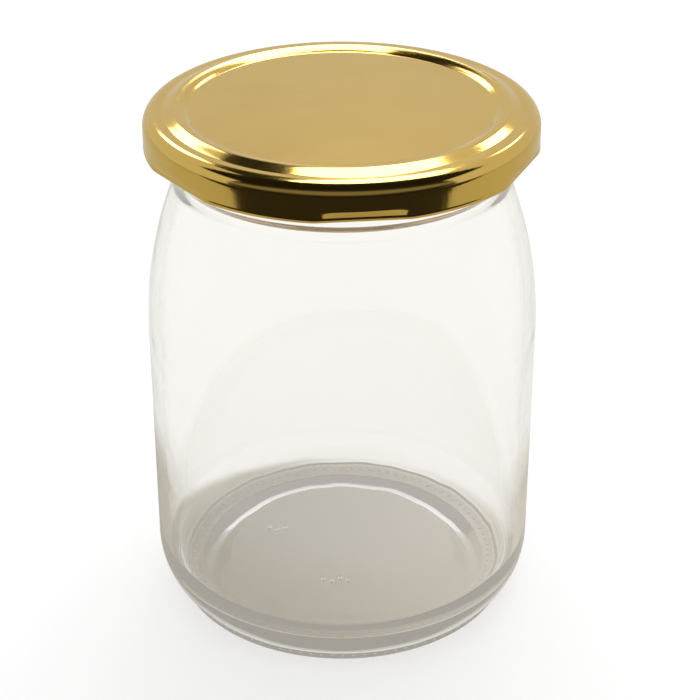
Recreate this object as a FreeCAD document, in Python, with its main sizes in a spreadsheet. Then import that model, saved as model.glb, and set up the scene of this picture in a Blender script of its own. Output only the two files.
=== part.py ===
# A clear glass storage jar with a six-lug twist-off lid, closed.
#
# The jar stands on Z = 0 with its axis on Z, and -Y is the side that faces the viewer.
# The glass carries six short threads just under its rim. The lid is one sheet of tinplate:
# a sunk panel inside a round bead, a flat shelf, a straight skirt and a rolled edge, pressed
# flat at six lugs that hook under the threads. A ring of sealing compound lies between the
# shelf of the lid and the rim of the glass.
import FreeCAD, Part
import math
import os

import Sketcher

VECTOR = FreeCAD.Vector
UP = VECTOR(0, 0, 1)
TURN = 360.0
LUGS = 6
SECTOR = TURN / LUGS
ROUND_ROOM = 0.98  # the share of an edge that the rounds at its two ends may take

# Millimetres and degrees. Heights of the neck and shoulder are measured down from the rim,
# and heights of the lid from the underside of its shelf. Across, the foot follows the body,
# and the neck, the threads and the lid follow the bore.
SIZES = {
    # glass, outside
    "jar_height": 117.7,
    "body_radius": 44.0,
    "shoulder_drop": 34.5,
    "shoulder_round": 94.0,
    "neck_wall": 2.0,
    "neck_drop": 13.65,
    "neck_round": 1.5,
    "flare_drop": 11.8,
    "flare_round": 0.6,
    "finish_wall": 4.6,
    "finish_drop": 9.3,
    "finish_round": 1.0,
    "rim_outer_round": 0.9,
    "rim_inner_round": 2.2,
    # glass, base
    "heel_height": 7.32,
    "heel_round": 16.0,
    "heel_inset": 3.7,
    "heel_edge_height": 2.76,
    "heel_edge_round": 0.3,
    "foot_inset": 4.6,
    "foot_height": 2.4,
    "foot_fillet": 0.3,
    "foot_round": 1.0,
    "bearing_width": 5.2,
    "bearing_round": 1.2,
    "push_border": 7.2,
    "push_edge_height": 2.3,
    "push_round": 2.0,
    "push_height": 3.0,
    # glass, inside
    "wall": 2.5,
    "base_wall": 4.4,
    "bore_radius": 34.6,
    "bore_drop": 15.5,
    "bore_round": 8.0,
    "hollow_drop": 34.9,
    "hollow_round": 91.0,
    "floor_border": 11.5,
    "floor_round": 40.0,
    "floor_corner_round": 8.0,
    # glass threads
    "thread_reach": 1.4,
    "thread_root": 0.5,
    "thread_height": 1.7,
    "thread_flank": 0.45,
    "thread_sweep": 44.0,
    "thread_lead": 13.0,
    "thread_gap": 0.12,
    "thread_back": 12.0,
    # lid, underside of the sheet
    "sheet": 0.25,
    "lid_clearance": 0.55,
    "skirt_depth": 7.38,
    "skirt_tuck": 0.15,
    "corner_round": 2.15,
    "bead_inset": 1.1,
    "bead_foot_round": 1.2,
    "bead_slope": 1.7,
    "bead_top_round": 0.8,
    "bead_width": 0.75,
    "bead_inner_round": 0.35,
    "bead_rise": 1.32,
    "bead_lean": 0.42,
    "bead_wall": 0.32,
    "panel_edge_round": 0.5,
    "panel_edge_drop": 0.85,
    "panel_border": 15.0,
    "panel_drop": 0.45,
    "panel_round": 400.0,
    # lid edge and lugs
    "roll_radius": 0.95,
    "roll_proud": 0.06,
    "roll_start": 35.0,
    "roll_gap": 50.0,
    "lug_angle": -84.0,
    "lug_depth": 1.2,
    "lug_width": 26.0,
    "lug_corner_round": 6.0,
    "lug_margin": 0.8,
    # sealing ring
    "seal_thickness": 1.08,
    "seal_inset": 2.0,
    "seal_reach": 1.3,
    "seal_round": 0.3,
}
# Radii and heights that several pieces share, as sums of the sizes.
NECK = "bore_radius + neck_wall"
FINISH = "bore_radius + finish_wall"
CREST = FINISH + " + thread_reach"
ROLL = CREST + " + lid_clearance + roll_radius"
SKIRT = ROLL + " + roll_radius - roll_proud - sheet"
HOLLOW = "body_radius - wall"
FOOT = "body_radius - foot_inset"
BEARING = FOOT + " - bearing_width"
BEAD_FOOT = FINISH + " - bead_inset"
BEAD_TOP = BEAD_FOOT + " - bead_slope"
BEAD_INNER = BEAD_TOP + " - bead_width"
PANEL = BEAD_INNER + " - bead_wall"
SEAT = "jar_height + seal_thickness"

doc = FreeCAD.newDocument("glass_jar_with_lid")
sheet = doc.addObject("Spreadsheet::Sheet", "sizes")


def fill_sheet():
    for row, (name, value) in enumerate(SIZES.items(), start=1):
        sheet.set("A%d" % row, name)
        sheet.set("B%d" % row, str(value))
        sheet.setAlias("B%d" % row, name)
    doc.recompute()


def amount(text):
    """The value of a sum of sizes, such as "jar_height - neck_drop"."""
    total = 0.0
    sign = 1
    for word in text.split():
        if word in "+-":
            sign = -1 if word == "-" else 1
        elif word != "0":
            total += sign * sheet.get(word)
    return total


def formula(text):
    """The same sum as an expression on the sheet."""
    words = text.split()
    return " ".join(word if word in "+-" or word == "0" else "sizes." + word for word in words)


def origin_plane(body, role):
    return next(feature for feature in body.Origin.OriginFeatures if feature.Role == role)


def new_body(label, height=None):
    body = doc.addObject("PartDesign::Body", label)
    body.Label = label
    if height:
        body.setExpression("Placement.Base.z", formula(height))
    return body


def new_sketch(body, name, role="XZ_Plane", turn=None, height=None):
    """A sketch on an origin plane, turned about the jar's axis or lifted along it."""
    sketch = body.newObject("Sketcher::SketchObject", name)
    sketch.AttachmentSupport = [(origin_plane(body, role), "")]
    sketch.MapMode = "FlatFace"
    if turn:
        upright = VECTOR(0, 1, 0) if role == "XZ_Plane" else UP
        sketch.AttachmentOffset = FreeCAD.Placement(VECTOR(), FreeCAD.Rotation(upright, 1))
        sketch.setExpression("AttachmentOffset.Rotation.Angle", turn)
    if height:
        sketch.setExpression("AttachmentOffset.Base.z", formula(height))
    return sketch


def bind(sketch, constraint, text):
    """Adds a driving constraint and binds its value to a sum of sizes."""
    index = sketch.addConstraint(constraint)
    sketch.setExpression("Constraints[%d]" % index, text)
    return index


def fix_point(sketch, geometry, point, across, up):
    """Places a point of the sketch by sums of sizes; "0" puts it on an axis."""
    for kind, text, axis in (("DistanceX", across, -2), ("DistanceY", up, -1)):
        if text == "0":
            sketch.addConstraint(Sketcher.Constraint("PointOnObject", geometry, point, axis))
        else:
            distance = Sketcher.Constraint(kind, -1, 1, geometry, point, amount(text))
            bind(sketch, distance, formula(text))


def draw_outline(sketch, corners):
    """A closed outline from corners (across, up, round). Each round is tangent to both of
    its edges, and one that is too large for them shrinks to what fits."""
    count = len(corners)
    points = [VECTOR(amount(across), amount(up), 0) for across, up, _ in corners]
    ways = [(points[(i + 1) % count] - points[i]).normalize() for i in range(count)]
    radii = [amount(text) if text else 0.0 for _, _, text in corners]
    reach = [radii[i] * math.tan(ways[i - 1].getAngle(ways[i]) / 2) for i in range(count)]
    share = [1.0] * count
    for i in range(count):
        after = (i + 1) % count
        room = ROUND_ROOM * (points[after] - points[i]).Length
        crowd = reach[i] + reach[after]
        if crowd > room:
            share[i] = min(share[i], room / crowd)
            share[after] = min(share[after], room / crowd)

    for i in range(count):
        after = (i + 1) % count
        start = points[i] + ways[i] * (reach[i] * share[i])
        end = points[after] - ways[i] * (reach[after] * share[after])
        sketch.addGeometry(Part.LineSegment(start, end), False)
    for i, (across, up, text) in enumerate(corners):
        if text:
            radius = radii[i] * share[i]
            arc = draw_round(sketch, points[i], ways[i - 1], ways[i], radius, (i - 1) % count, i)
            corner = sketch.addGeometry(Part.Point(points[i]), True)
            for edge in ((i - 1) % count, i):
                sketch.addConstraint(Sketcher.Constraint("PointOnObject", corner, 1, edge))
            fix_point(sketch, corner, 1, across, up)
            limit = "" if share[i] == 1.0 else " * %.6f" % share[i]
            bind(sketch, Sketcher.Constraint("Radius", arc, radius), formula(text) + limit)
        else:
            sketch.addConstraint(Sketcher.Constraint("Coincident", (i - 1) % count, 2, i, 1))
            fix_point(sketch, i, 1, across, up)
    return sketch


def draw_round(sketch, corner, enter, leave, radius, edge_in, edge_out):
    """The arc that rounds a corner between two edges of the sketch. An arc runs
    anticlockwise, so on a right-hand corner its end comes first."""
    reach = radius * math.tan(enter.getAngle(leave) / 2)
    left_hand = enter.cross(leave).z > 0
    side = VECTOR(-leave.y, leave.x, 0) * (radius if left_hand else -radius)
    centre = corner + leave * reach + side
    spokes = [corner - enter * reach - centre, corner + leave * reach - centre]
    near, far = 1, 2
    if not left_hand:
        spokes.reverse()
        near, far = 2, 1
    start, stop = [math.atan2(spoke.y, spoke.x) for spoke in spokes]
    if stop < start:
        stop += 2 * math.pi
    circle = Part.Circle(centre, UP, radius)
    arc = sketch.addGeometry(Part.ArcOfCircle(circle, start, stop), False)
    sketch.addConstraint(Sketcher.Constraint("Tangent", edge_in, 2, arc, near))
    sketch.addConstraint(Sketcher.Constraint("Tangent", edge_out, 1, arc, far))
    return arc


def spin(body, sketch, kind, name):
    """A full turn of the sketch about the jar's axis, added to the body or cut from it."""
    feature = body.newObject("PartDesign::" + kind, name)
    feature.Profile = sketch
    feature.ReferenceAxis = (sketch, ["V_Axis"])
    feature.Angle = TURN
    return feature


def repeat_round(body, feature, name):
    """The same feature at each of the lugs."""
    pattern = body.newObject("PartDesign::PolarPattern", name)
    pattern.Originals = [feature]
    pattern.Axis = (origin_plane(body, "Z_Axis"), [""])
    pattern.Angle = TURN
    pattern.Occurrences = LUGS
    body.Tip = pattern
    return pattern


def ring_edge(shape, radius, height):
    """The name of the circular edge of this radius at this height."""
    for number, edge in enumerate(shape.Edges, start=1):
        curve = edge.Curve
        if not isinstance(curve, Part.Circle):
            continue
        if abs(curve.Radius - radius) < 0.01 and abs(curve.Center.z - height) < 0.01:
            return "Edge%d" % number
    raise ValueError("no edge of radius %.2f at height %.2f" % (radius, height))


def glass_outside(body):
    corners = [
        ("0", "push_height", None),
        (BEARING + " - push_border", "push_edge_height", "push_round"),
        (BEARING, "0", "bearing_round"),
        (FOOT, "0", "foot_round"),
        (FOOT, "foot_height", "foot_fillet"),
        ("body_radius - heel_inset", "heel_edge_height", "heel_edge_round"),
        ("body_radius", "heel_height", "heel_round"),
        ("body_radius", "jar_height - shoulder_drop", "shoulder_round"),
        (NECK, "jar_height - neck_drop", "neck_round"),
        (NECK, "jar_height - flare_drop", "flare_round"),
        (FINISH, "jar_height - finish_drop", "finish_round"),
        (FINISH, "jar_height", "rim_outer_round"),
        ("0", "jar_height", None),
    ]
    outline = draw_outline(new_sketch(body, "glass_outline"), corners)
    return spin(body, outline, "Revolution", "glass_outside")


def glass_hollow(body):
    corners = [
        ("0", "push_height + base_wall", None),
        (HOLLOW + " - floor_border", "push_edge_height + base_wall", "floor_round"),
        (HOLLOW, "push_edge_height + base_wall", "floor_corner_round"),
        (HOLLOW, "jar_height - hollow_drop", "hollow_round"),
        ("bore_radius", "jar_height - bore_drop", "bore_round"),
        ("bore_radius", "jar_height + wall", None),
        ("0", "jar_height + wall", None),
    ]
    outline = draw_outline(new_sketch(body, "hollow_outline"), corners)
    return spin(body, outline, "Groove", "glass_hollow")


def glass_rim(body, solid):
    """Rounds the inner edge of the rim."""
    edge = ring_edge(solid.Shape, amount("bore_radius"), amount("jar_height"))
    rim = body.newObject("PartDesign::Fillet", "glass_rim")
    rim.Base = (solid, [edge])
    rim.setExpression("Radius", formula("rim_inner_round"))
    return rim


def glass_threads(body):
    """Six threads that climb anticlockwise, each with its low end over a lug of the lid."""
    low = SEAT + " - skirt_depth + roll_radius + thread_gap"
    root = FINISH + " - thread_root"
    corners = [
        (root, low, None),
        (CREST, low, None),
        (CREST, low + " + thread_height - thread_flank", None),
        (root, low + " + thread_height", None),
    ]
    turn = formula("lug_angle - thread_back")
    section = draw_outline(new_sketch(body, "thread_section", turn=turn), corners)
    thread = body.newObject("PartDesign::AdditiveHelix", "glass_thread")
    thread.Profile = section
    thread.ReferenceAxis = (section, ["V_Axis"])
    thread.Mode = "pitch-turns-angle"
    thread.setExpression("Pitch", formula("thread_lead"))
    thread.setExpression("Turns", "sizes.thread_sweep / %g" % TURN)
    thread.LeftHanded = False
    thread.Reversed = False
    return repeat_round(body, thread, "glass_threads")


def glass_jar():
    body = new_body("glass_jar")
    glass_outside(body)
    hollow = glass_hollow(body)
    doc.recompute()
    glass_rim(body, hollow)
    glass_threads(body)
    return body


def lid_block(body):
    """A solid block that fills the lid, with the form of the underside of its sheet."""
    low = "0 - skirt_depth - skirt_tuck"
    corners = [
        ("0", low, None),
        (SKIRT, low, None),
        (SKIRT, "0", "corner_round"),
        (BEAD_FOOT, "0", "bead_foot_round"),
        (BEAD_TOP, "bead_rise", "bead_top_round"),
        (BEAD_INNER, "bead_rise - bead_lean", "bead_inner_round"),
        (PANEL, "0 - panel_edge_drop", "panel_edge_round"),
        (PANEL + " - panel_border", "0 - panel_drop", "panel_round"),
        ("0", "0 - panel_drop", None),
    ]
    outline = draw_outline(new_sketch(body, "block_outline"), corners)
    return spin(body, outline, "Revolution", "lid_block")


def lid_flats(body):
    """Six flats that slope inwards at 45 degrees down to the lugs."""
    corners = [
        (SKIRT + " - lug_depth - lug_margin", "0 - skirt_depth - lug_margin", None),
        (SKIRT + " + lug_margin", "0 - skirt_depth - lug_margin", None),
        (SKIRT + " + lug_margin", "lug_depth + lug_margin - skirt_depth", None),
    ]
    section = draw_outline(new_sketch(body, "flat_section", turn="sizes.lug_angle"), corners)
    flat = body.newObject("PartDesign::Pocket", "lid_flat")
    flat.Profile = section
    flat.SideType = "Symmetric"
    flat.setExpression("Length", formula("lug_width"))
    return repeat_round(body, flat, "lid_flats")


def lid_sheet(body, block):
    """Lays the sheet over the block, which goes: only the sheet is left, open below."""
    doc.recompute()
    low = block.Shape.BoundBox.ZMin
    faces = enumerate(block.Shape.Faces, start=1)
    under = ["Face%d" % number for number, face in faces if face.BoundBox.ZMax - low < 0.001]
    skin = body.newObject("PartDesign::Thickness", "lid_sheet")
    skin.Base = (block, under)
    skin.Reversed = False
    skin.Join = "Arc"
    skin.setExpression("Value", formula("sheet"))
    return skin


def roll_path(body):
    """The centre line of the rolled edge over one sixth of the lid: two arcs about the
    jar's axis and, between them, the straight run of a lug."""
    radius = amount(ROLL)
    straight = radius - amount("lug_depth")
    bend = amount("lug_corner_round")
    meet = math.acos((straight - bend) / (radius - bend))
    end = math.radians(SECTOR / 2)
    hub = VECTOR((radius - bend) * math.cos(meet), (radius - bend) * math.sin(meet), 0)
    path = new_sketch(body, "roll_path", "XY_Plane", "sizes.lug_angle", "0 - skirt_depth")
    circle = Part.Circle(VECTOR(), UP, radius)
    first = path.addGeometry(Part.ArcOfCircle(circle, -end, -meet), False)
    last = path.addGeometry(Part.ArcOfCircle(circle, meet, end), False)
    lower = Part.Circle(VECTOR(hub.x, -hub.y, 0), UP, bend)
    upper = Part.Circle(hub, UP, bend)
    enter = path.addGeometry(Part.ArcOfCircle(lower, -meet, 0), False)
    leave = path.addGeometry(Part.ArcOfCircle(upper, 0, meet), False)
    start = VECTOR(straight, -hub.y, 0)
    stop = VECTOR(straight, hub.y, 0)
    run = path.addGeometry(Part.LineSegment(start, stop), False)
    for arc in (first, last):
        path.addConstraint(Sketcher.Constraint("Coincident", arc, 3, -1, 1))
    for pair in ((first, 2, enter, 1), (enter, 2, run, 1), (run, 2, leave, 1), (leave, 2, last, 1)):
        path.addConstraint(Sketcher.Constraint("Tangent", *pair))
    path.addConstraint(Sketcher.Constraint("Symmetric", run, 1, run, 2, -1))
    bind(path, Sketcher.Constraint("Radius", first, radius), formula(ROLL))
    bind(path, Sketcher.Constraint("Radius", enter, bend), formula("lug_corner_round"))
    bind(path, Sketcher.Constraint("Radius", leave, bend), formula("lug_corner_round"))
    across = Sketcher.Constraint("DistanceX", -1, 1, run, 1, straight)
    bind(path, across, formula(ROLL + " - lug_depth"))
    for arc, point, angle in ((first, 1, -end), (last, 2, end)):
        tip = VECTOR(radius * math.cos(angle), radius * math.sin(angle), 0)
        spoke = path.addGeometry(Part.LineSegment(VECTOR(), tip), True)
        path.addConstraint(Sketcher.Constraint("Coincident", spoke, 1, -1, 1))
        path.addConstraint(Sketcher.Constraint("Coincident", spoke, 2, arc, point))
        path.addConstraint(Sketcher.Constraint("Angle", spoke, angle))
    return path


def roll_section(body):
    """The rolled edge cut across: a thin ring, open where the roll ends behind the skirt."""
    centre = VECTOR(amount(ROLL), -amount("skirt_depth"), 0)
    turn = "sizes.lug_angle - %g" % (SECTOR / 2)
    section = new_sketch(body, "roll_section", turn=turn)
    start = math.radians(amount("roll_start") + amount("roll_gap"))
    stop = math.radians(amount("roll_start") + TURN)
    outer = amount("roll_radius")
    inner = outer - amount("sheet")
    arcs = []
    for radius in (outer, inner):
        circle = Part.Circle(centre, UP, radius)
        arcs.append(section.addGeometry(Part.ArcOfCircle(circle, start, stop), False))
    for angle, point in ((start, 1), (stop, 2)):
        spoke = VECTOR(math.cos(angle), math.sin(angle), 0)
        edge = Part.LineSegment(centre + spoke * inner, centre + spoke * outer)
        end = section.addGeometry(edge, False)
        section.addConstraint(Sketcher.Constraint("Coincident", end, 1, arcs[1], point))
        section.addConstraint(Sketcher.Constraint("Coincident", end, 2, arcs[0], point))
    section.addConstraint(Sketcher.Constraint("Coincident", arcs[0], 3, arcs[1], 3))
    fix_point(section, arcs[0], 3, ROLL, "0 - skirt_depth")
    bind(section, Sketcher.Constraint("Radius", arcs[0], outer), formula("roll_radius"))
    bind(section, Sketcher.Constraint("Radius", arcs[1], inner), formula("roll_radius - sheet"))
    return section


def lid_roll(body):
    """The rolled edge, which hooks under a thread at each lug."""
    roll = body.newObject("PartDesign::AdditivePipe", "lid_roll")
    roll.Profile = roll_section(body)
    roll.Spine = roll_path(body)
    return repeat_round(body, roll, "lid_rolls")


def lid():
    body = new_body("lid", height=SEAT)
    lid_block(body)
    flats = lid_flats(body)
    lid_sheet(body, flats)
    lid_roll(body)
    return body


def sealing_ring():
    body = new_body("sealing_ring", height="jar_height")
    inner = FINISH + " - seal_inset"
    outer = FINISH + " + seal_reach"
    corners = [
        (inner, "0", "seal_round"),
        (outer, "0", "seal_round"),
        (outer, "seal_thickness", None),
        (inner, "seal_thickness", "seal_round"),
    ]
    outline = draw_outline(new_sketch(body, "ring_outline"), corners)
    spin(body, outline, "Revolution", "ring")
    return body


def check_features():
    """Stops on a feature that failed, or on one that left its body as it was."""
    for feature in doc.Objects:
        if "Invalid" in feature.State or "Error" in feature.State:
            raise RuntimeError("%s failed: %s" % (feature.Name, feature.State))
        if not feature.isDerivedFrom("PartDesign::Feature") or feature.BaseFeature is None:
            continue
        change = feature.Shape.Volume - feature.BaseFeature.Shape.Volume
        if abs(change) < 0.01:
            raise RuntimeError("%s changed nothing" % feature.Name)


def export(bodies):
    os.makedirs("parts", exist_ok=True)
    for body in bodies:
        shape = body.Shape
        if shape.isNull() or not shape.isValid() or len(shape.Solids) != 1:
            raise RuntimeError("%s is not one valid solid" % body.Label)
        shape.exportStep("parts/%s.step" % body.Label)
        print("%s: %.0f cubic mm, top at %.2f mm" % (body.Label, shape.Volume, shape.BoundBox.ZMax))


fill_sheet()
pieces = [glass_jar(), sealing_ring(), lid()]
doc.recompute()
check_features()
export(pieces)
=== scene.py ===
import math

import bpy
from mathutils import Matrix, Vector


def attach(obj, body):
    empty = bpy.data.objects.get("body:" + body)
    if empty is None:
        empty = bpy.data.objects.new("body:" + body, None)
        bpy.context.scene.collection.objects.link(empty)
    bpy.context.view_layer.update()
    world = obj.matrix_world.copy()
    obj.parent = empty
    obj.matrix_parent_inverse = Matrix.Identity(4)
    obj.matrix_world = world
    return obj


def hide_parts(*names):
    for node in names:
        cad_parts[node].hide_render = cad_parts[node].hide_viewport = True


# A clear glass jar with a gold twist-off lid, on a pale floor. The solids come from the frame;
# the glass, the lid and the ring between them are made again here as finer meshes.

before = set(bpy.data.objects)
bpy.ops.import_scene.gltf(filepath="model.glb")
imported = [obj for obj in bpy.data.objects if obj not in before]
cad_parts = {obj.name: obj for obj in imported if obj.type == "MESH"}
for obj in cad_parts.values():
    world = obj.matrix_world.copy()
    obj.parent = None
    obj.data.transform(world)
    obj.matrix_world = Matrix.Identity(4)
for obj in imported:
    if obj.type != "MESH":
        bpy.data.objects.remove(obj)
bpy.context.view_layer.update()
mm = 0.001
print("frame loaded:", ", ".join(sorted(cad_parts)))

# Outlines: how finely an arc is cut, and how small a turn or a run has to be to be left out.
pathSizes = {
    "widestTurn": math.radians(10),
    "fewestSteps": 3,
    "tooSmall": 1e-4,
}


def roundedPath(corners, step):
    # corners are (across, up, round) in mm, and each round becomes an arc
    spots = [Vector((across, up)) for across, up, _ in corners]
    path = [spots[0]]
    for i in range(1, len(corners) - 1):
        before, corner, after, rounding = spots[i - 1], spots[i], spots[i + 1], corners[i][2]
        enter, leave = (corner - before).normalized(), (after - corner).normalized()
        turn = math.atan2(enter.x * leave.y - enter.y * leave.x, enter.dot(leave))
        if rounding == 0 or abs(turn) < pathSizes["tooSmall"]:
            path.append(corner)
            continue
        reach = rounding * math.tan(abs(turn) / 2)
        side = 1 if turn > 0 else -1
        centre = corner - enter * reach + Vector((-enter.y, enter.x)) * side * rounding
        spoke = corner - enter * reach - centre
        count = max(pathSizes["fewestSteps"], math.ceil(abs(turn) * rounding / step),
                    math.ceil(abs(turn) / pathSizes["widestTurn"]))
        for k in range(count + 1):
            angle = turn * k / count
            path.append(centre + Vector((spoke.x * math.cos(angle) - spoke.y * math.sin(angle),
                                         spoke.x * math.sin(angle) + spoke.y * math.cos(angle))))
    return path + [spots[-1]]


def splitRun(start, end, step):
    # the points that cut a straight run into equal parts, without its start
    count = max(1, math.ceil((end - start).length / step))
    return [start.lerp(end, k / count) for k in range(1, count + 1)]


def fillIn(path, step):
    # more points on the long straight runs
    filled = [path[0]]
    for start, end in zip(path, path[1:]):
        if (end - start).length > pathSizes["tooSmall"]:
            filled += splitRun(start, end, step)
    return filled


def newPiece(name, points, edges=(), faces=()):
    mesh = bpy.data.meshes.new(name)
    mesh.from_pydata(points, edges, faces)
    piece = bpy.data.objects.new(name, mesh)
    bpy.context.scene.collection.objects.link(piece)
    return piece


def outlinePiece(name, path):
    # a line of points in the x-z plane, for a tree to spin
    points = [(p.x * mm, 0, p.y * mm) for p in path]
    return newPiece(name, points, edges=[(i, i + 1) for i in range(len(path) - 1)])


class Tree:
    # a short way to write a node tree: sockets in, socket out
    def __init__(self, tree):
        self.tree = tree

    def node(self, kind, inputs=None, **settings):
        made = self.tree.nodes.new(kind)
        for key, value in settings.items():
            setattr(made, key, value)
        for key, value in (inputs or {}).items():
            socket = made.inputs[key]
            if isinstance(value, bpy.types.NodeSocket):
                self.tree.links.new(value, socket)
            else:
                socket.default_value = value
        return made

    def out(self, kind, inputs=None, **settings):
        return self.node(kind, inputs, **settings).outputs[0]

    def maths(self, operation, first, second=0.0, third=0.0):
        return self.out("ShaderNodeMath", {0: first, 1: second, 2: third}, operation=operation)

    def ramp(self, value, low, high, kind="SMOOTHSTEP"):
        # 0 at low, 1 at high
        return self.out("ShaderNodeMapRange", {"Value": value, "From Min": low, "From Max": high},
                        interpolation_type=kind)

    def blend(self, amount, first, second):
        return self.node("ShaderNodeMix", {0: amount, 6: first, 7: second}, data_type="RGBA").outputs[2]

    def mixed(self, amount, first, second):
        return self.out("ShaderNodeMixShader", {0: amount, 1: first, 2: second})

    def place(self):
        return self.node("ShaderNodeTexCoord").outputs["Object"]

    def apart(self, place):
        return self.node("ShaderNodeSeparateXYZ", {0: place}).outputs

    def noise(self, place, scale, detail):
        return self.out("ShaderNodeTexNoise", {"Vector": place, "Scale": scale, "Detail": detail})

    def bump(self, height, strength, distance):
        return self.out("ShaderNodeBump", {"Height": height, "Strength": strength, "Distance": distance})

    def atRow(self, outline, value, row, kind):
        # what a point of the outline says
        return self.out("GeometryNodeSampleIndex", {0: outline, "Value": value, "Index": row},
                        data_type=kind, domain="POINT")


def newGroup(name, sizes):
    # a Geometry Nodes group whose named inputs are the sizes it is made from
    group = bpy.data.node_groups.new(name, "GeometryNodeTree")
    for way in ("INPUT", "OUTPUT"):
        group.interface.new_socket("Geometry", in_out=way, socket_type="NodeSocketGeometry")
    for label, value in sizes.items():
        kind = "NodeSocketInt" if isinstance(value, int) else "NodeSocketFloat"
        if isinstance(value, bpy.types.Material):
            kind = "NodeSocketMaterial"
        group.interface.new_socket(label, in_out="INPUT", socket_type=kind)
    tree = Tree(group)
    return group, tree, tree.node("NodeGroupInput").outputs


def finishGroup(tree, shape, material):
    shape = tree.out("GeometryNodeSetShadeSmooth", {"Geometry": shape})
    shape = tree.out("GeometryNodeRealizeInstances", {"Geometry": shape})
    shape = tree.out("GeometryNodeSetMaterial", {"Geometry": shape, "Material": material})
    tree.node("NodeGroupOutput", {"Geometry": shape})


def runGroup(piece, group, sizes):
    # sets the inputs, evaluates once and keeps the result as a plain mesh
    modifier = piece.modifiers.new(group.name, "NODES")
    modifier.node_group = group
    sockets = {s.name: s.identifier for s in group.interface.items_tree if s.in_out == "INPUT"}
    for label, value in sizes.items():
        modifier[sockets[label]] = value
    bpy.context.view_layer.update()
    seen = piece.evaluated_get(bpy.context.evaluated_depsgraph_get())
    mesh = bpy.data.meshes.new_from_object(seen)
    piece.modifiers.remove(modifier)
    piece.data = mesh
    mesh.name = piece.name
    return piece


def spinGroup(name, sizes, reshape=None):
    # a grid wrapped round the upright axis: a row for each point of the outline, a column for each step.
    # reshape gives what is added to the radius, from where a point of the grid is
    group, tree, entry = newGroup(name, sizes)
    outline = entry["Geometry"]
    rows = tree.out("GeometryNodeAttributeDomainSize", {0: outline}, component="MESH")
    columns = tree.maths("ADD", entry["Steps round"], 1.0)
    grid = tree.out("GeometryNodeMeshGrid", {"Vertices X": columns, "Vertices Y": rows})
    index = tree.out("GeometryNodeInputIndex")
    column = tree.maths("FLOOR", tree.maths("DIVIDE", tree.maths("ADD", index, 0.5), rows))
    row = tree.maths("SUBTRACT", index, tree.maths("MULTIPLY", column, rows))
    spot = tree.atRow(outline, tree.out("GeometryNodeInputPosition"), row, "FLOAT_VECTOR")
    radius, _, up = tree.apart(spot)
    angle = tree.maths("MULTIPLY", tree.maths("DIVIDE", column, entry["Steps round"]), math.tau)
    if reshape:
        at = {"angle": angle, "radius": radius, "up": up, "row": row}
        radius = tree.maths("ADD", radius, reshape(tree, entry, at))
    place = tree.out("ShaderNodeCombineXYZ", {
        "X": tree.maths("MULTIPLY", radius, tree.maths("COSINE", angle)),
        "Y": tree.maths("MULTIPLY", radius, tree.maths("SINE", angle)),
        "Z": up})
    shape = tree.out("GeometryNodeSetPosition", {"Geometry": grid, "Position": place})
    shape = tree.out("GeometryNodeMergeByDistance", {"Geometry": shape, "Distance": 0.001 * mm})
    finishGroup(tree, shape, entry["Material"])
    return group


def newMaterial(name):
    material = bpy.data.materials.new(name)
    material.use_nodes = True
    material.node_tree.nodes.clear()
    return material, Tree(material.node_tree)


# Glass: clear and faintly warm, with the slow waves that the mould and the cooling leave in it.
glassLook = {
    "tint": (0.99, 0.985, 0.985, 1),
    "index": 1.5,
    "waveSize": 55.0,                      # waves per metre
    "waveDetail": 2.0,
    "waveDepth": 0.05,
    "waveReach": 2 * mm,
    "bodyTint": (0.84, 0.86, 0.84, 1),
    "bodyDensity": 5.0,                    # how fast the tint gathers with depth, per metre
    "throughLamp": (0.90, 0.89, 0.87, 1),  # what the jar leaves of a lamp's light
    "strayAfter": 2.5,                     # how often light may be turned back inside the wall, and the grey glow painted in place of what it would show after that
    "paintedGlowInGlass": (0.38, 0.36, 0.32, 1),   # and what it looks like after that
}


def makeGlass():
    look = glassLook
    material, tree = newMaterial("clearGlass")
    waves = tree.noise(tree.place(), look["waveSize"], look["waveDetail"])
    glass = tree.out("ShaderNodeBsdfPrincipled", {
        "Base Color": look["tint"], "IOR": look["index"], "Transmission Weight": 1.0, "Roughness": 0.0,
        "Normal": tree.bump(waves, look["waveDepth"], look["waveReach"])})
    clear = tree.out("ShaderNodeBsdfTransparent", {"Color": look["throughLamp"]})
    # Painted reflection: a ray turned back in the glass three times or more shows a fixed grey glow instead
    # of what it would mirror.
    paintedGlow = tree.out("ShaderNodeEmission", {"Color": look["paintedGlowInGlass"]})
    path = tree.node("ShaderNodeLightPath").outputs
    turnedBack = tree.maths("GREATER_THAN", path["Glossy Depth"], look["strayAfter"])
    both = tree.mixed(path["Is Shadow Ray"], tree.mixed(turnedBack, glass, paintedGlow), clear)
    body = tree.out("ShaderNodeVolumeAbsorption", {"Color": look["bodyTint"], "Density": look["bodyDensity"]})
    tree.node("ShaderNodeOutputMaterial", {"Surface": both, "Volume": body})
    return material


# Lid: tinplate under a gold lacquer, rolled one way, a little deeper in clouds.
lidLook = {
    "gold": (0.79, 0.535, 0.14, 1),
    "deepGold": (0.76, 0.51, 0.13, 1),
    "cloudSize": 60.0,
    "cloudDetail": 5.0,
    "cloudEdges": (0.35, 0.7),
    "grainSize": (60.0, 4000.0, 60.0),     # lines per metre, close together across the rolling
    "grainDetail": 3.0,
    "grainDepth": 0.03,
    "grainReach": 0.1 * mm,
    "grainEdges": (0.3, 0.8),
    "roughness": 0.085,
    "grainRoughness": 0.05,                # what the grain adds to it
}


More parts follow.
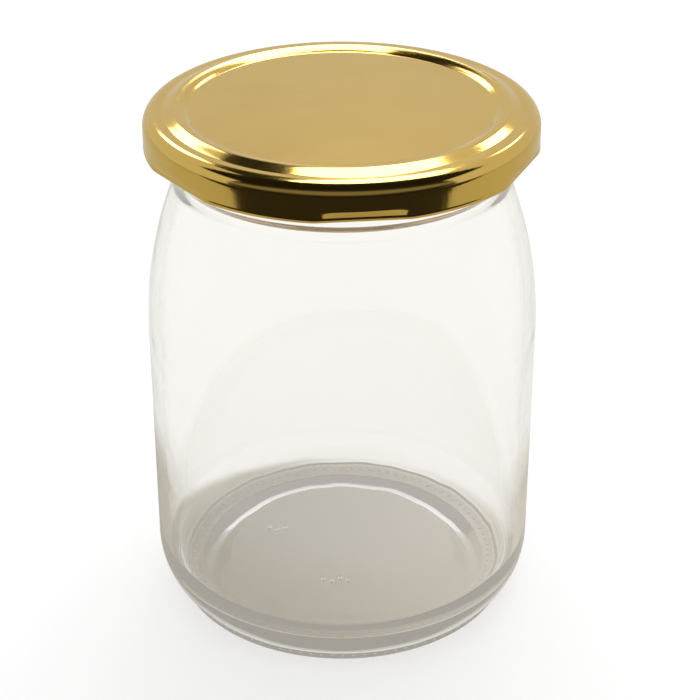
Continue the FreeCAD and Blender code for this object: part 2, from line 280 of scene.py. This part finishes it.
def makeGold():
    look = lidLook
    material, tree = newMaterial("goldLacquer")
    place = tree.place()
    cloud = tree.noise(place, look["cloudSize"], look["cloudDetail"])
    rolled = tree.out("ShaderNodeMapping", {"Vector": place, "Scale": look["grainSize"]})
    grain = tree.noise(rolled, 1.0, look["grainDetail"])
    added = tree.maths("MULTIPLY", tree.ramp(grain, *look["grainEdges"]), look["grainRoughness"])
    metal = tree.out("ShaderNodeBsdfPrincipled", {
        "Base Color": tree.blend(tree.ramp(cloud, *look["cloudEdges"]), look["gold"], look["deepGold"]),
        "Metallic": 1.0, "Roughness": tree.maths("ADD", look["roughness"], added),
        "Normal": tree.bump(grain, look["grainDepth"], look["grainReach"])})
    tree.node("ShaderNodeOutputMaterial", {"Surface": metal})
    return material


# Compound: a pale, soft paste that has set.
compoundLook = {
    "pale": (0.66, 0.62, 0.52, 1),
    "paler": (0.74, 0.70, 0.61, 1),
    "cloudSize": 250.0,
    "cloudDetail": 3.0,
    "cloudDepth": 0.1,
    "cloudReach": 0.2 * mm,
    "roughness": 0.45,
    "softness": 0.1,
    "softReach": 1 * mm,
}


def makeCompound():
    look = compoundLook
    material, tree = newMaterial("sealingCompound")
    cloud = tree.noise(tree.place(), look["cloudSize"], look["cloudDetail"])
    paste = tree.out("ShaderNodeBsdfPrincipled", {
        "Base Color": tree.blend(cloud, look["pale"], look["paler"]), "Roughness": look["roughness"],
        "Normal": tree.bump(cloud, look["cloudDepth"], look["cloudReach"]),
        "Subsurface Weight": look["softness"], "Subsurface Scale": look["softReach"]})
    tree.node("ShaderNodeOutputMaterial", {"Surface": paste})
    return material


clearGlass, goldLacquer, sealingCompound = makeGlass(), makeGold(), makeCompound()
print("materials made")

# Jar: the outline is in mm from the axis and the floor, in the same form as the solid, with its standing
# ring lifted by the height of the knurls.
jarSizes = {
    "outside": [(0, 3.0, 0), (27.0, 2.3, 2), (34.2, 0.15, 1.2), (39.4, 0.15, 1.0), (39.4, 2.4, 0.3),
                (40.3, 2.76, 0.3), (44, 7.32, 16), (44, 83.2, 94), (36.6, 104.05, 1.5), (36.6, 105.9, 0.6),
                (39.2, 108.4, 1.0), (39.2, 117.7, 0.9)],
    "inside": [(34.6, 117.7, 2.2), (34.6, 102.2, 8), (41.5, 82.8, 91), (41.5, 6.7, 8), (30, 6.7, 40),
               (0, 7.4, 0)],
    "stepsRound": 264,
    "arcStep": 0.5,
    "plainStep": 2.6,
    "threadStep": 0.22,
    "threadZone": (108.1, 116.9),          # the heights that get the fine step,
    "threadZoneFrom": 38.9,                # and how far from the axis they do
    "riseEdges": (-0.12, 0.22),            # how a thread grows from the glass, in shares of its height,
    "fallEdges": (1.08, 0.72),
    "startEdges": (0.0, 0.14),             # and in shares of its length
    "stopEdges": (1.0, 0.86),
    "threadsFrom": 38.5 * mm,              # only what lies further out gets threads
    "threads": {
        "Threads": 6,
        "Thread start": math.radians(-96),
        "Thread sweep": math.radians(44),
        "Thread low": 112.47 * mm,
        "Thread lead": 13 * mm,
        "Thread height": 1.7 * mm,
        "Thread reach": 1.4 * mm,
    },
}


def threadForm(tree, entry, at):
    # how far the glass stands out for the threads
    pitch = tree.maths("DIVIDE", math.tau, entry["Threads"])
    along = tree.maths("WRAP", tree.maths("SUBTRACT", at["angle"], entry["Thread start"]), pitch, 0.0)
    climb = tree.maths("MULTIPLY", entry["Thread lead"], tree.maths("DIVIDE", along, math.tau))
    low = tree.maths("ADD", entry["Thread low"], climb)
    above = tree.maths("DIVIDE", tree.maths("SUBTRACT", at["up"], low), entry["Thread height"])
    share = tree.maths("DIVIDE", along, entry["Thread sweep"])
    upright = tree.maths("MULTIPLY", tree.ramp(above, *jarSizes["riseEdges"]),
                         tree.ramp(above, *jarSizes["fallEdges"]))
    lengthwise = tree.maths("MULTIPLY", tree.ramp(share, *jarSizes["startEdges"]),
                            tree.ramp(share, *jarSizes["stopEdges"]))
    height = tree.maths("MULTIPLY", upright, lengthwise)
    outer = tree.maths("GREATER_THAN", at["radius"], jarSizes["threadsFrom"])
    return tree.maths("MULTIPLY", tree.maths("MULTIPLY", height, outer), entry["Thread reach"])


def makeJar():
    sizes = jarSizes
    path = fillIn(roundedPath(sizes["outside"] + sizes["inside"], sizes["arcStep"]), sizes["plainStep"])
    low, high = sizes["threadZone"]
    fine = [path[0]]
    for start, end in zip(path, path[1:]):
        inZone = max(start.x, end.x) > sizes["threadZoneFrom"] and end.y > low and start.y < high
        fine += splitRun(start, end, sizes["threadStep"]) if inZone else [end]
    piece = outlinePiece("jarGlass", fine)
    inputs = {"Material": clearGlass, "Steps round": sizes["stepsRound"], **sizes["threads"]}
    return runGroup(piece, spinGroup("jarFromOutline", inputs, threadForm), inputs)


jar = makeJar()
print("jar made:", len(jar.data.polygons), "faces")

# Knurls: short raised bars round the standing ring, and two groups of plain bars on the push-up.
knurlSizes = {
    "markPlaces": [(-18.2, 8.6), (-16.2, 7.6), (-14.2, 8.6),
                   (-4.6, -13.0), (-2.6, -13.6), (-0.6, -12.6), (1.2, -13.4)],
    "markHeight": 2.55,
    "barSegments": 10,
    "barRings": 6,
    "bars": {
        "Knurls": 96,
        "Ring radius": 36.8 * mm,
        "Bar length": 1.0 * mm,
        "Bar width": 0.42 * mm,
        "Bar depth": 0.15 * mm,
        "Mark width": 0.55 * mm,
        "Mark length": 1.6 * mm,
        "Mark depth": 0.4 * mm,
    },
}


def makeKnurls():
    # the ring of bars is set out in the tree; the marks stand on the piece's own points
    sizes = knurlSizes
    inputs = {"Material": clearGlass, **sizes["bars"]}
    group, tree, entry = newGroup("knurlRing", inputs)
    bar = tree.out("GeometryNodeMeshUVSphere", {
        "Segments": sizes["barSegments"], "Rings": sizes["barRings"], "Radius": 1.0})
    x, y, _ = tree.apart(tree.out("GeometryNodeInputPosition"))
    ring = tree.out("GeometryNodeMeshCircle", {"Vertices": entry["Knurls"], "Radius": entry["Ring radius"]})
    barSize = tree.out("ShaderNodeCombineXYZ", {0: entry["Bar length"], 1: entry["Bar width"],
                                                2: entry["Bar depth"]})
    turn = tree.out("ShaderNodeCombineXYZ", {2: tree.maths("ARCTAN2", y, x)})
    bars = tree.out("GeometryNodeInstanceOnPoints", {
        "Points": ring, "Instance": bar, "Rotation": turn, "Scale": barSize})
    lift = tree.out("ShaderNodeCombineXYZ", {2: entry["Bar depth"]})
    bars = tree.out("GeometryNodeRealizeInstances", {"Geometry": bars})
    bars = tree.out("GeometryNodeTransform", {"Geometry": bars, "Translation": lift})
    markSize = tree.out("ShaderNodeCombineXYZ", {0: entry["Mark width"], 1: entry["Mark length"],
                                                 2: entry["Mark depth"]})
    marks = tree.out("GeometryNodeInstanceOnPoints", {
        "Points": entry["Geometry"], "Instance": bar, "Scale": markSize})
    both = tree.node("GeometryNodeJoinGeometry", {0: bars})
    tree.tree.links.new(marks, both.inputs[0])
    finishGroup(tree, both.outputs[0], entry["Material"])
    points = [(x * mm, y * mm, sizes["markHeight"] * mm) for x, y in sizes["markPlaces"]]
    return runGroup(newPiece("baseKnurls", points), group, inputs)


knurls = makeKnurls()
print("knurls made:", len(knurls.data.polygons), "faces")

# Lid: the underside of the sheet from the middle out, in mm from the axis and up from the shelf. Its bead
# is gentler than the solid's.
lidSizes = {
    "shelfHeight": 118.78,
    "sheet": 0.25,
    "underside": [(0, 0.1, 0), (19.0, 0.1, 400), (33.27, 0, 0.85), (34.52, 0.717, 4.55),
                  (36.24, 0.958, 1.75), (38.6, 0, 1.25), (42.74, 0, 2.85), (42.74, -7.05, 0)],
    "rollCentre": (42.1, -7.38),
    "rollRadius": 0.95,
    "rollEnd": 85 - 360,                   # degrees, where the rolled edge stops inside
    "rollSteps": (34, 26),                 # outside and inside
    "wallLap": 0.02,                       # the wall ends this far above the roll
    "lugTop": 1.2,                         # above the roll's centre, where the wall starts to turn in
    "stepsRound": 360,
    "arcStep": 0.18,
    "plainStep": 1.2,
    "leastShare": 0.0005,                  # of a lug's depth, below which the wall stays round
    "lugs": {
        "Lugs": 6,
        "Lug angle": math.radians(-84),
        "Lug depth": 1.2 * mm,
        "Wall radius": 42.74 * mm,
        "Bend": 0.35 * mm,
    },
}


def offsetPath(path, amount):
    # each point moved square to the line, to its left as it runs
    moved = []
    for i, spot in enumerate(path):
        before, after = path[max(i - 1, 0)], path[min(i + 1, len(path) - 1)]
        along = (after - before).normalized()
        moved.append(spot + Vector((-along.y, along.x)) * amount)
    return moved


def lugForm(tree, entry, at):
    # each lug is a flat pressed into the wall, and the rolled edge follows it as a chord
    named = tree.out("GeometryNodeInputNamedAttribute", {"Name": "lugShare"}, data_type="FLOAT")
    share = tree.atRow(entry["Geometry"], named, at["row"], "FLOAT")
    half = tree.maths("DIVIDE", math.pi, entry["Lugs"])
    offLug = tree.maths("WRAP", tree.maths("SUBTRACT", at["angle"], entry["Lug angle"]), half,
                        tree.maths("MULTIPLY", half, -1.0))
    depth = tree.maths("MULTIPLY", entry["Lug depth"], share)
    flat = tree.maths("SUBTRACT", entry["Wall radius"], depth)
    chord = tree.maths("DIVIDE", flat, tree.maths("COSINE", offLug))
    limit = tree.maths("SMOOTH_MIN", chord, entry["Wall radius"], entry["Bend"])
    inward = tree.maths("SUBTRACT", limit, entry["Wall radius"])
    return tree.maths("MULTIPLY", inward, tree.maths("GREATER_THAN", share, lidSizes["leastShare"]))


def makeLid():
    sizes = lidSizes
    under = fillIn(roundedPath(sizes["underside"], sizes["arcStep"]), sizes["plainStep"])
    over = offsetPath(under, sizes["sheet"])
    over[0].x = 0
    centre = Vector(sizes["rollCentre"])
    outer, inner = sizes["rollRadius"], sizes["rollRadius"] - sizes["sheet"]
    outerSteps, innerSteps = sizes["rollSteps"]

    def meetRoll(wall, radius):
        # ends the wall just above the roll, and gives the angle at which the roll goes on
        start = math.degrees(math.acos((wall[-1].x - centre.x) / radius))
        wall[-1].y = centre.y + radius * math.sin(math.radians(start)) + sizes["wallLap"]
        return start

    def arc(radius, first, last, count):
        angles = [math.radians(first + (last - first) * k / count) for k in range(count + 1)]
        return [centre + radius * Vector((math.cos(angle), math.sin(angle))) for angle in angles]

    def lugShares(wall):
        # 0 on the plain wall, growing to 1 at its lower end
        top, bottom = centre.y + sizes["lugTop"], over[-1].y
        return [min(1, max(0, (top - p.y) / (top - bottom))) for p in wall]

    outerStart, innerStart = meetRoll(over, outer), meetRoll(under, inner)
    roll = arc(outer, outerStart, sizes["rollEnd"], outerSteps)
    roll += arc(inner, sizes["rollEnd"], innerStart, innerSteps)
    path = over + roll + under[::-1]
    piece = outlinePiece("lidGold", [p + Vector((0, sizes["shelfHeight"])) for p in path])
    shares = piece.data.attributes.new("lugShare", "FLOAT", "POINT")
    shares.data.foreach_set("value", lugShares(over) + [1.0] * len(roll) + lugShares(under[::-1]))
    inputs = {"Material": goldLacquer, "Steps round": sizes["stepsRound"], **sizes["lugs"]}
    return runGroup(piece, spinGroup("lidFromOutline", inputs, lugForm), inputs)


lid = makeLid()
print("lid made:", len(lid.data.polygons), "faces")

# Sealing ring: the band of compound between the rim and the shelf of the lid, in mm.
ringSizes = {
    "outline": [(38.0, 117.7, 0), (39.7, 117.7, 0.3), (39.7, 118.78, 0.3), (33.4, 118.78, 0.3),
                (33.4, 117.7, 0.3), (38.0, 117.7, 0)],
    "stepsRound": 256,
    "arcStep": 0.3,
}


def makeRing():
    sizes = ringSizes
    piece = outlinePiece("ringOfCompound", roundedPath(sizes["outline"], sizes["arcStep"]))
    inputs = {"Material": sealingCompound, "Steps round": sizes["stepsRound"]}
    return runGroup(piece, spinGroup("ringFromOutline", inputs), inputs)


ring = makeRing()
print("ring made:", len(ring.data.polygons), "faces")

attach(jar, "root")
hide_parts("glass_jar")
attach(knurls, "root")
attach(lid, "root")
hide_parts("lid")
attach(ring, "root")
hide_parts("sealing_ring")

# Studio: a pale floor, a white room, soft lamps behind and above, and the dark side of the room in
# front. The dark side and the faces of the lamps show in the metal, and not through the glass.
studioSizes = {
    "floorReach": 4,
    "floorColour": (0.53, 0.52, 0.44, 1),
    "floorLift": 0.52,                     # brings the floor up to white for the camera
    "floorInGlass": 0.45,                  # how much of its own colour shows through the glass, and the painted shadow added where the jar stands, darker at its left, lighter at its right, and what is added further out
    "paintedShadowLeft": (0.27, 0.245, 0.205, 1),   # and what is added where the jar stands, at its left,
    "paintedShadowRight": (0.43, 0.395, 0.34, 1),  # at its right,
    "aroundJar": (0.68, 0.675, 0.67, 1),   # and further out
    "paintedShadowShift": (0.004, 0, 0),           # the painted shadow's place under the jar: a little to the left, wider than deep
    "paintedShadowSquash": (0.89, 1, 1),
    "paintedShadowEdges": (-0.03, 0.045),          # where the painted shadow goes from its left colour to its right one
    "nearEdges": (0.040, 0.0455),          # where the painted shadow ends for light that has crossed both walls, and for the rest
    "wideEdges": (0.065, 0.095),           # and for the rest
    "bothWalls": 3.5,                      # how many faces of glass such light has crossed
    "roomStrength": 0.70,
    "roomThroughGlass": 0.875,
    "softLamp": 3.2,                       # how bright the lamps are
    "lampFace": 5.0,                       # how bright the lid sees them
    "faceFade": (3.9, 3.2),                # how far away their faces fade
    "lampHeight": 2.0,
    "clothColour": (0.03, 0.027, 0.022, 1),
    "farWall": 0.22,                       # how light the dark side is at mid height
    "farWallColour": (1, 0.97, 0.9, 1),
    "farWallEdges": (0.2, 0.6, 0.8, 1.4),  # the heights between which that light comes and goes
}
lampCorners = {
    "softLampRight": ((-0.1, 0.5), (1.2, 2.9)),
    "softLampLeft": ((-1.2, 1.0), (-0.25, 2.8)),
}
clothHeight = studioSizes["lampHeight"] + 0.02
clothCorners = {
    "flagOnFloor": [(-1.5, -1.5, 0.001), (1.5, -1.5, 0.001), (1.5, -0.15, 0.001), (-1.5, -0.15, 0.001)],
    "flagInFront": [(-2.5, -1.2, 0), (2.5, -1.2, 0), (2.5, -1.2, clothHeight), (-2.5, -1.2, clothHeight)],
    "flagOverhead": [(x, y, clothHeight) for x, y in ((-2.5, -1.2), (2.5, -1.2), (2.5, 0.45), (-2.5, 0.45))],
    "flagUpLeft": [(x, y, clothHeight) for x, y in (
        (-0.95, 0.45), (-0.38, 0.45), (-0.3, 1.0), (-0.16, 1.7), (-0.08, 2.5), (-0.06, 3.0), (-0.42, 3.0),
        (-0.62, 2.2), (-0.95, 1.35))],
}
faceHeight = studioSizes["lampHeight"] + 0.01
faceCorners = {
    "faceRight": [(x, y, faceHeight) for x, y in (
        (-0.38, 0.6), (0.9, 0.6), (0.72, 1.3), (0.5, 1.95), (0.33, 2.6), (0.12, 3.9), (0.02, 3.9),
        (-0.08, 2.5), (-0.16, 1.7), (-0.3, 1.0))],
    "faceFarRight": [(x, y, faceHeight) for x, y in ((1.05, 1.9), (1.35, 1.9), (1.75, 3.1), (1.35, 3.1))],
    "faceLeft": [(x, y, faceHeight) for x, y in (
        (-1.35, 2.1), (-0.85, 1.6), (-0.7, 2.6), (-0.95, 3.4), (-1.7, 3.4))],
}


def throughGlass(tree):
    # 1 for a ray that has gone through glass or is mirrored in it, else 0
    path = tree.node("ShaderNodeLightPath").outputs
    gone = tree.maths("GREATER_THAN", path["Transmission Depth"], 0.5)
    return tree.maths("MAXIMUM", gone, path["Is Singular Ray"])


def makeCard(name, material, corners):
    card = newPiece(name, corners, faces=[tuple(range(len(corners)))])
    card.data.materials.append(material)
    return card


def makeGlossCards(allCorners, material):
    # cards that only gloss sees
    for name, corners in allCorners.items():
        card = makeCard(name, material, corners)
        card.visible_camera = card.visible_shadow = card.visible_diffuse = card.visible_transmission = False


def makeFloor():
    sizes = studioSizes
    material, tree = newMaterial("paleFloor")
    place = tree.place()
    path = tree.node("ShaderNodeLightPath").outputs
    through = throughGlass(tree)
    own = sizes["floorColour"]
    grey = sum(own[:3]) / 3
    colour = tree.blend(path["Is Camera Ray"], own, (grey, grey, grey, 1))
    inGlass = [sizes["floorInGlass"] * part for part in own[:3]] + [1]
    matt = tree.out("ShaderNodeBsdfDiffuse", {"Color": tree.blend(through, colour, inGlass)})

    # A shadow is painted under the jar for rays that come through the glass: darker at the left, lighter at
    # the right, and near white further out.
    moved = tree.out("ShaderNodeVectorMath", {0: place, 1: sizes["paintedShadowShift"]}, operation="ADD")
    narrow = tree.out("ShaderNodeVectorMath", {0: moved, 1: sizes["paintedShadowSquash"]}, operation="MULTIPLY")
    away = tree.node("ShaderNodeVectorMath", {0: narrow}, operation="LENGTH").outputs["Value"]
    across = tree.apart(place)[0]
    toRight = tree.ramp(across, *sizes["paintedShadowEdges"], "LINEAR")
    under = tree.blend(toRight, sizes["paintedShadowLeft"], sizes["paintedShadowRight"])
    oneWall = tree.maths("LESS_THAN", path["Transmission Depth"], sizes["bothWalls"])
    near = tree.maths("MULTIPLY", tree.ramp(away, *sizes["nearEdges"]), tree.maths("SUBTRACT", 1.0, oneWall))
    wide = tree.maths("MULTIPLY", tree.ramp(away, *sizes["wideEdges"]), oneWall)
    seen = tree.blend(tree.maths("ADD", wide, near), under, sizes["aroundJar"])
    lifted = tree.maths("MULTIPLY", path["Is Camera Ray"], sizes["floorLift"])
    # For rays through the glass, this glow carries the painted shadow under the jar.
    glow = tree.out("ShaderNodeEmission", {"Color": tree.blend(through, (1, 1, 1, 1), seen),
                                           "Strength": tree.maths("MAXIMUM", lifted, through)})
    both = tree.out("ShaderNodeAddShader", {0: matt, 1: glow})
    tree.node("ShaderNodeOutputMaterial", {"Surface": both})
    reach = sizes["floorReach"]
    corners = [(-reach, -reach, 0), (reach, -reach, 0), (reach, reach, 0), (-reach, reach, 0)]
    makeCard("floor", material, corners)


def makeCloths():
    # black cloth on the floor, in front and overhead, with a little light at mid height
    sizes = studioSizes
    material, tree = newMaterial("blackCloth")
    up = tree.apart(tree.place())[2]
    dark, lit, litEnd, darkAgain = sizes["farWallEdges"]
    share = tree.maths("MULTIPLY", tree.ramp(up, dark, lit), tree.ramp(up, darkAgain, litEnd))
    black = tree.out("ShaderNodeBsdfDiffuse", {"Color": sizes["clothColour"]})
    glow = tree.out("ShaderNodeEmission", {"Color": sizes["farWallColour"],
                                           "Strength": tree.maths("MULTIPLY", share, sizes["farWall"])})
    both = tree.out("ShaderNodeAddShader", {0: black, 1: glow})
    clear = tree.out("ShaderNodeBsdfTransparent")
    tree.node("ShaderNodeOutputMaterial", {"Surface": tree.mixed(throughGlass(tree), both, clear)})
    makeGlossCards(clothCorners, material)


def makeFaces():
    # the bright faces that the lid mirrors, fading at their far end
    material, tree = newMaterial("lampFace")
    fade = tree.ramp(tree.apart(tree.place())[1], *studioSizes["faceFade"])
    seen = tree.maths("SUBTRACT", 1.0, throughGlass(tree))
    strength = tree.maths("MULTIPLY", tree.maths("MULTIPLY", fade, seen), studioSizes["lampFace"])
    glow = tree.out("ShaderNodeEmission", {"Strength": strength})
    clear = tree.out("ShaderNodeBsdfTransparent")
    both = tree.out("ShaderNodeAddShader", {0: glow, 1: clear})
    tree.node("ShaderNodeOutputMaterial", {"Surface": both})
    makeGlossCards(faceCorners, material)


def makeLamp(name, low, high):
    # a soft box facing down, from one corner to the other; gloss sees its face instead
    data = bpy.data.lights.new(name, "AREA")
    data.shape = "RECTANGLE"
    data.size, data.size_y = high[0] - low[0], high[1] - low[1]
    data.energy = studioSizes["softLamp"] * math.pi * data.size * data.size_y
    lamp = bpy.data.objects.new(name, data)
    lamp.location = ((low[0] + high[0]) / 2, (low[1] + high[1]) / 2, studioSizes["lampHeight"])
    lamp.visible_glossy = lamp.visible_transmission = False
    bpy.context.scene.collection.objects.link(lamp)


def makeWorld():
    sizes = studioSizes
    world = bpy.data.worlds.new("whiteRoom")
    bpy.context.scene.world = world
    world.use_nodes = True
    world.node_tree.nodes.clear()
    tree = Tree(world.node_tree)
    isCamera = tree.node("ShaderNodeLightPath").outputs["Is Camera Ray"]
    behind = tree.maths("MAXIMUM", isCamera, sizes["roomStrength"])
    inGlass = tree.maths("MULTIPLY", throughGlass(tree), sizes["roomThroughGlass"])
    room = tree.out("ShaderNodeBackground", {"Color": (1, 1, 1, 1),
                                             "Strength": tree.maths("MAXIMUM", behind, inGlass)})
    tree.node("ShaderNodeOutputWorld", {"Surface": room})


makeFloor()
makeCloths()
makeFaces()
for name, (low, high) in lampCorners.items():
    makeLamp(name, low, high)
makeWorld()
print("studio made")

# Camera: metres and radians; it looks down by the pitch.
cameraSizes = {
    "spot": (0, -0.39027, 0.27245),
    "pitch": 0.500627,
    "yaw": 0.004577,
    "lens": 99.33,
    "sensor": 36,
}
camera = bpy.data.objects.new("camera", bpy.data.cameras.new("camera"))
camera.data.lens = cameraSizes["lens"]
camera.data.sensor_width = cameraSizes["sensor"]
camera.location = cameraSizes["spot"]
camera.rotation_euler = (math.pi / 2 - cameraSizes["pitch"], 0, -cameraSizes["yaw"])
bpy.context.scene.collection.objects.link(camera)
bpy.context.scene.camera = camera
bpy.context.scene.view_settings.view_transform = "Standard"
print("camera set")
